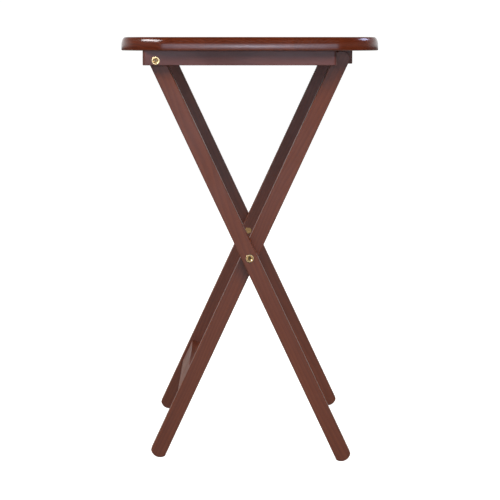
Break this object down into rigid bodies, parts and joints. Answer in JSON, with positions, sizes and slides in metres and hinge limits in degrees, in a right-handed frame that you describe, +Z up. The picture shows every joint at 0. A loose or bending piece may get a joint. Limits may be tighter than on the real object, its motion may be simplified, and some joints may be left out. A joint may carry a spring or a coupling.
{
  "type": "folding tray table",
  "caption": "Small folding tray table: a round-cornered rectangular top hinged on crossed wooden legs that close like scissors, with brass pivot bolts.",
  "frame": {"origin": "centre of the tray top's outline, at floor level with the table open", "axes": "+Z up; Y along the pivots, with the right-hand side at -Y; the legs cross in the X-Z plane, the outer legs leaning to -X at the top and the inner legs to +X; +X is away from the user"},
  "size_m": [0.3956, 0.48, 0.655],
  "materials": {
    "top_wood": "gloss lacquered walnut",
    "frame_wood": "satin lacquered walnut",
    "dowel_wood": "plain beech",
    "screw_steel": "zinc plated",
    "brass": "polished brass plate",
    "nylon": "natural nylon"
  },
  "bodies": {
    "inner_frame": {"inner_leg_right": "frame_wood", "inner_leg_left": "frame_wood", "lower_stretcher": "frame_wood", "top_bar": "frame_wood", "stretcher_dowels": "dowel_wood", "top_bar_dowels": "dowel_wood", "cross_pivot_bolt_right": "brass", "cross_pivot_bolt_left": "brass", "cross_pivot_sleeve_right": "brass", "cross_pivot_sleeve_left": "brass", "cross_pivot_washer_right": "nylon", "cross_pivot_washer_left": "nylon"},
    "outer_legs": {"outer_leg_right": "frame_wood", "outer_leg_left": "frame_wood", "top_pivot_bolt_right": "brass", "top_pivot_bolt_left": "brass", "top_pivot_sleeve_right": "brass", "top_pivot_sleeve_left": "brass", "top_pivot_washer_right": "nylon", "top_pivot_washer_left": "nylon"},
    "tray_top": {"tabletop": "top_wood", "side_rail_right": "frame_wood", "side_rail_left": "frame_wood", "stop_batten": "frame_wood", "rail_screws": "screw_steel", "batten_screws": "screw_steel"}
  },
  "joints": [
    {"name": "leg_fold", "type": "hinge", "parent": "inner_frame", "child": "outer_legs", "pos_m": [0, 0, 0.3176], "axis": [0, 1, 0], "range_deg": [0, 49.5]},
    {"name": "tray_lift", "type": "hinge", "parent": "outer_legs", "child": "tray_top", "pos_m": [-0.1415, 0, 0.6197], "axis": [0, -1, 0], "range_deg": [0, 114]}
  ],
  "couplings": [
    {"joint": "tray_lift", "follows": "leg_fold", "ratio": 2.3}
  ]
}
